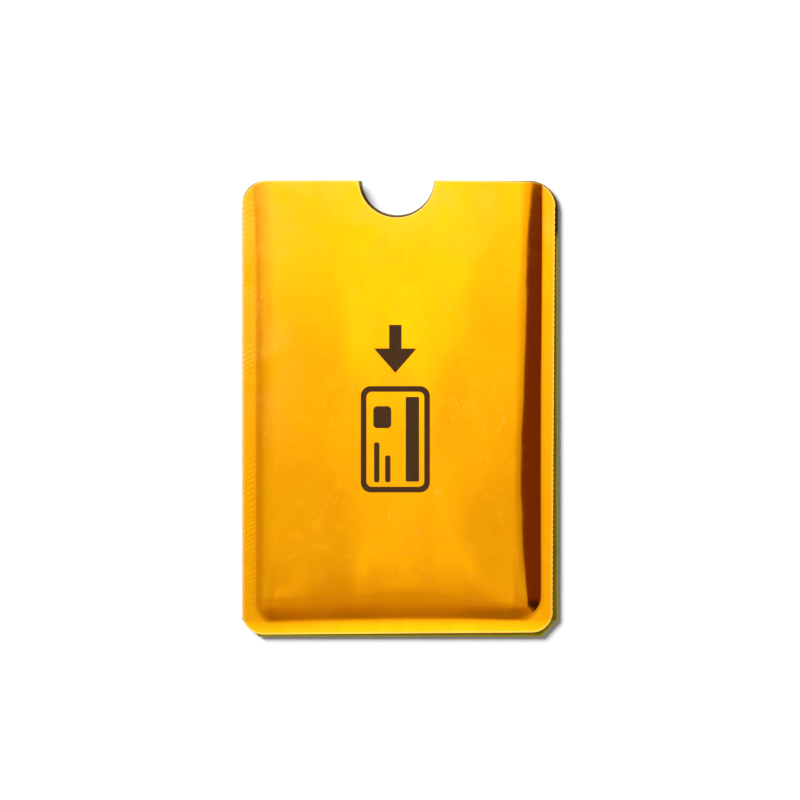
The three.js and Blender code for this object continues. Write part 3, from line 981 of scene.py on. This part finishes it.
def print_ink(graph, place, colours):
    """Dark brown ink: satin, uneven in depth, with pinholes that show the gold below."""
    cover = graph.noise(place, 1.1, 4.0)
    grain = graph.noise(place, 9.0, 2.0)
    ragged = 1.0 - (rim_distance(graph) + (grain - 0.5) * 0.12).step(0.0, 0.09)
    pinholes = grain.step(0.7, 0.76) * cover.step(0.45, 0.6)
    base = graph.mix(cover * 0.6, colours.ink, colours.ink_thin)
    return {
        "Base Color": graph.mix(pinholes * 0.8 + ragged * 0.25, base, colours.gold_deep),
        "Metallic": pinholes * 0.8,
        "Roughness": 0.34 + cover * 0.16,
        "Specular IOR Level": 0.1,
        "Normal": bump(graph, cover * 0.5 + grain * 0.5, 0.004 * MM),
    }


def levels(form):
    """Distance from the meeting plane to each ply's inner and outer face."""
    liner = (form.glue, form.glue + form.liner)
    foil = (liner[1] + form.glue, liner[1] + form.glue + form.foil)
    film = (foil[1] + form.glue, foil[1] + form.glue + form.film)
    return {"liner": liner, "foil": foil, "film": film}


def panel_plies(context, face, side, outline, coarseness):
    """The film, foil and liner of one panel."""
    form = context.scene.sleeve_form
    edges = Edges(form)
    points = sheet_points(form, edges, coarseness)
    panel = cut_blank([outline], points)
    lining = cut_blank([outline, liner_outline(form, edges)], points, inside_both)
    plies = {
        "film": (panel, shared_material(gold_film), "gold_film"),
        "foil": (panel, shared_material(aluminium_foil), "aluminium_foil"),
        "liner": (lining, shared_material(sealing_liner), "sealing_liner"),
    }
    for ply, (inner, outer) in levels(form).items():
        blank, material, slot = plies[ply]
        low, high = sorted((MEETING_PLANE + side * inner, MEETING_PLANE + side * outer))
        node = face + "_" + ply
        piece = formed_piece(context, "sleeve_" + node, blank, low, high, side, material)
        dress(node, slot)


class SLEEVE_OT_front_panel(Operator):
    """Builds the film, foil and liner of the puffed front panel"""

    bl_idname = "sleeve.front_panel"
    bl_label = "Front panel"

    def execute(self, context):
        form = context.scene.sleeve_form
        panel_plies(context, "front", 1, front_outline(form, Edges(form)), coarseness=1.0)
        return {"FINISHED"}


class SLEEVE_OT_back_panel(Operator):
    """Builds the film, foil and liner of the back panel"""

    bl_idname = "sleeve.back_panel"
    bl_label = "Back panel"

    def execute(self, context):
        form = context.scene.sleeve_form
        panel_plies(context, "back", -1, back_outline(form, Edges(form)), coarseness=1.3)
        return {"FINISHED"}


class SLEEVE_OT_seals(Operator):
    """Builds the left, right and bottom seals"""

    bl_idname = "sleeve.seals"
    bl_label = "Seals"

    def execute(self, context):
        form = context.scene.sleeve_form
        edges = Edges(form)
        points = sheet_points(form, edges, coarseness=1.2)
        outlines = {
            "left_seal": side_seal_outline(form, edges, -1.0),
            "right_seal": side_seal_outline(form, edges, 1.0),
            "bottom_seal": bottom_seal_outline(form, edges),
        }
        half = form.glue + form.liner
        low, high = MEETING_PLANE - half, MEETING_PLANE + half
        material = shared_material(fused_seal)
        back = back_outline(form, edges)
        for node, outline in outlines.items():
            blank = cut_blank([back, outline], points, inside_both)
            piece = formed_piece(context, "sleeve_" + node, blank, low, high, 0, material)
            dress(node, "fused_seal")
        return {"FINISHED"}


def rounded(centre, size, radius):
    """A rounded rectangle, walked anticlockwise."""
    corners = []
    for i, (sx, sy) in enumerate(((1, -1), (1, 1), (-1, 1), (-1, -1))):
        middle = (centre[0] + sx * (size[0] / 2 - radius), centre[1] + sy * (size[1] / 2 - radius))
        begin = (i - 1) * math.pi / 2
        corners.append(arc(middle, radius, begin, begin + math.pi / 2, PRINT_CORNER_POINTS))
    return np.vstack(corners)


def mark_loops(mark):
    """The loops of the printed mark: a card's outline, its stripe, chip and lines, and an arrow."""
    arrow_gap = 2.6 * MM
    head_length = 4.9 * MM
    stripe_inset = 1.0 * MM
    shaft = 1.25 * MM
    # The chip and two lines, in millimetres: place right of and above the card's middle, width,
    # length and corner radius.
    details = (
        (-2.6, 4.4, 3.6, 4.4, 0.8),
        (-3.7, -4.6, 1.1, 8.0, 0.4),
        (-1.5, -5.9, 1.1, 5.4, 0.4),
    )
    x, y = mark.centre_x, mark.centre_y
    total = mark.card_length + mark.arrow_length + arrow_gap
    card = (x, y - total / 2 + mark.card_length / 2)
    inner = (mark.card_width - 2 * mark.line, mark.card_length - 2 * mark.line)
    stripe = (x + inner[0] / 2 - stripe_inset - mark.stripe / 2, card[1])
    loops = [
        rounded(card, (mark.card_width, mark.card_length), mark.card_radius),
        rounded(card, inner, mark.card_radius - mark.line * 0.8),
        rounded(stripe, (mark.stripe, inner[1] - 2 * stripe_inset), 0.3 * MM),
    ]
    for right, up, width, tall, radius in details:
        middle = (card[0] + right * MM, card[1] + up * MM)
        loops.append(rounded(middle, (width * MM, tall * MM), radius * MM))
    tip = y + total / 2 - mark.arrow_length
    head = tip + head_length
    end = tip + mark.arrow_length
    half = mark.arrow_width / 2
    right_half = [(half, head), (shaft, head), (shaft, end)]
    left_half = [(-across, along) for across, along in reversed(right_half)]
    loops.append(np.array([(0.0, tip), *right_half, *left_half]) + (x, 0.0))
    return loops


class SLEEVE_OT_mark(Operator):
    """Prints the plain card and arrow on the front"""

    bl_idname = "sleeve.mark"
    bl_label = "Printed mark"

    def execute(self, context):
        form = context.scene.sleeve_form
        mark = context.scene.sleeve_print
        loops = mark_loops(mark)
        everything = np.vstack(loops)
        low, high = everything.min(axis=0), everything.max(axis=0)
        spacing = 0.4 * MM
        points = lattice((low[0], high[0]), (low[1], high[1]), spacing, spacing)
        blank = cut_blank(loops, points, rims=len(loops))
        ink_gap = 0.002 * MM
        bottom = MEETING_PLANE + levels(form)["film"][1] + ink_gap
        top = bottom + mark.ink_height
        material = shared_material(print_ink)
        piece = formed_piece(context, "sleeve_mark", blank, bottom, top, 1, material)
        return {"FINISHED"}


def floor_finish(graph, place, studio):
    """A pale seamless floor, very slightly clouded."""
    clouds = graph.noise(place, 0.02, 3.0)
    pale = tuple(part * 0.985 for part in studio.floor_colour)
    return {
        "Base Color": graph.mix(clouds, studio.floor_colour, pale),
        "Roughness": 0.85 + clouds * 0.1,
        "Specular IOR Level": 0.1,
    }


def studio_dome(world, studio):
    """Soft studio light by direction: bright overhead and behind, dim in front, dark at the right."""
    world.use_nodes = True
    world.node_tree.nodes.clear()
    graph = Graph(world.node_tree)
    dx, dy, dz = graph.axes(graph.add("ShaderNodeTexCoord", None, None, output="Generated"))

    # Strength from the front over the top to the back.
    overhead = 0.44 + dy.step(-0.76, -0.4) * 0.36 + dy.step(-0.32, -0.05) * 0.2
    overhead = overhead + dy.step(-0.06, 0.145) * 1.2
    overhead = overhead * (1.0 - dy.step(0.25, 0.5) * 0.75)

    # Strength from left to right: a narrow bright middle, and dimmer sides.
    middle = 1.0 - (dx - 0.005).size().step(0.008, 0.042)
    middle = middle * (0.3 + dy.step(-0.34, -0.08) * 0.7)
    middle = middle * (1.0 - dy.step(0.02, 0.09) * 0.5)
    left = (-dx).step(0.6, 0.95)
    level = (1.0 - dy.step(0.1, 0.3)) * (1.0 - (-dy).step(0.03, 0.13))
    right = dx.step(0.14, 0.46) * level * (1.0 - dy.step(0.02, 0.12) * 0.6)
    behind = dy.step(-0.06, 0.02)
    aside = (0.79 + middle * 0.39) * (1.0 - (-dx).step(0.0, 0.7) * behind * 0.25)
    aside = aside * (1.0 + (-dx).step(0.03, 0.09) * behind * 0.11)
    aside = aside * (1.0 - left * 0.22) * (1.0 - right * 0.3)
    aside = aside * (1.0 + dx.size().step(0.0, 0.3) * (-dy).step(0.1, 0.35) * 0.1)

    # The light is warmer in front and at the sides.
    front = (-dy).step(0.03, 0.25) * 0.5 + (-dy).step(0.33, 0.62) * 0.5
    tint = graph.mix(front, studio.top_tint, studio.front_tint)
    tint = graph.mix((left + right).clamped() * (1.0 - front), tint, studio.side_tint)
    tint = graph.mix(middle * (1.0 - front) * 0.6, tint, studio.middle_tint)
    sockets = {0: tint, "Scale": overhead * aside}
    light = graph.add("ShaderNodeVectorMath", {"operation": "SCALE"}, sockets)

    # The dark card, the horizon, and what reaches matt surfaces and the camera.
    card = dx.step(0.45, 0.475) * (1.0 - dy.size().step(0.46, 0.65))
    lit = graph.mix(card, light, graph.mix((-dy).step(0.08, 0.3), studio.card, studio.card_front))
    lit = graph.mix(1.0 - dz.step(0.2, 0.4), lit, studio.horizon)
    for ray, shown in (("Is Diffuse Ray", studio.fill), ("Is Camera Ray", studio.backdrop)):
        lit = graph.mix(graph.add("ShaderNodeLightPath", None, None, output=ray), lit, shown)
    background = graph.add("ShaderNodeBackground", None, {"Color": lit, "Strength": 1.0})
    graph.add("ShaderNodeOutputWorld", None, {"Surface": background})


class SLEEVE_OT_studio(Operator):
    """Sets the floor, the lights and the camera"""

    bl_idname = "sleeve.studio"
    bl_label = "Studio"

    def execute(self, context):
        scene = context.scene
        studio = scene.sleeve_studio
        half = studio.floor_width / 2
        level = CAD_BOX[0].z - studio.floor_gap
        signs = ((-1, -1), (1, -1), (1, 1), (-1, 1))
        corners = [(sx * half, sy * half, level) for sx, sy in signs]
        mesh = bpy.data.meshes.new("studio_floor")
        mesh.from_pydata(corners, [], [(0, 1, 2, 3)])
        mesh.materials.append(new_material("studio_floor", floor_finish, studio))
        floor = bpy.data.objects.new("studio_floor", mesh)
        scene.collection.objects.link(floor)

        if scene.world is None:
            scene.world = bpy.data.worlds.new("studio")
        studio_dome(scene.world, studio)
        scene.view_settings.view_transform = "Standard"

        key = bpy.data.lights.new("studio_key", "SUN")
        key.energy = studio.key_strength
        key.angle = studio.key_angle
        lamp = bpy.data.objects.new("studio_key", key)
        lamp.rotation_mode = "QUATERNION"
        lamp.rotation_quaternion = studio.key_direction.to_track_quat("-Z", "Y")
        lamp.location = -studio.key_direction
        scene.collection.objects.link(lamp)

        lens = bpy.data.cameras.new("studio_camera")
        distance = studio.camera_height - studio.view_height
        lens.lens = lens.sensor_width * distance / studio.view_width
        camera = bpy.data.objects.new("studio_camera", lens)
        camera.location = (studio.camera_x, studio.camera_y, studio.camera_height)
        scene.collection.objects.link(camera)
        scene.camera = camera
        return {"FINISHED"}


OPERATORS = (
    SLEEVE_OT_front_panel,
    SLEEVE_OT_back_panel,
    SLEEVE_OT_seals,
    SLEEVE_OT_mark,
    SLEEVE_OT_studio,
)

GROUPS = {
    "sleeve_form": SleeveForm,
    "sleeve_finish": SleeveFinish,
    "sleeve_print": SleevePrint,
    "sleeve_studio": SleeveStudio,
}


class SLEEVE_PT_panel(Panel):
    """Lists the pieces of the sleeve and their sizes and colours"""

    bl_label = "Card sleeve"
    bl_idname = "SLEEVE_PT_panel"
    bl_space_type = "VIEW_3D"
    bl_region_type = "UI"
    bl_category = "Card sleeve"

    def draw(self, context):
        for operator in OPERATORS:
            self.layout.operator(operator.bl_idname)
        for name, group in GROUPS.items():
            box = self.layout.box()
            for field in group.__annotations__:
                box.prop(getattr(context.scene, name), field)


CLASSES = (*GROUPS.values(), *OPERATORS, SLEEVE_PT_panel)


def register():
    for cls in CLASSES:
        bpy.utils.register_class(cls)
    for name, group in GROUPS.items():
        setattr(bpy.types.Scene, name, PointerProperty(type=group))


def unregister():
    for name in GROUPS:
        delattr(bpy.types.Scene, name)
    for cls in reversed(CLASSES):
        bpy.utils.unregister_class(cls)


def main():
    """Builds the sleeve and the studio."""
    register()
    bpy.ops.sleeve.front_panel()
    bpy.ops.sleeve.back_panel()
    bpy.ops.sleeve.seals()
    bpy.ops.sleeve.mark()
    bpy.ops.sleeve.studio()


if __name__ == "__main__":
    main()
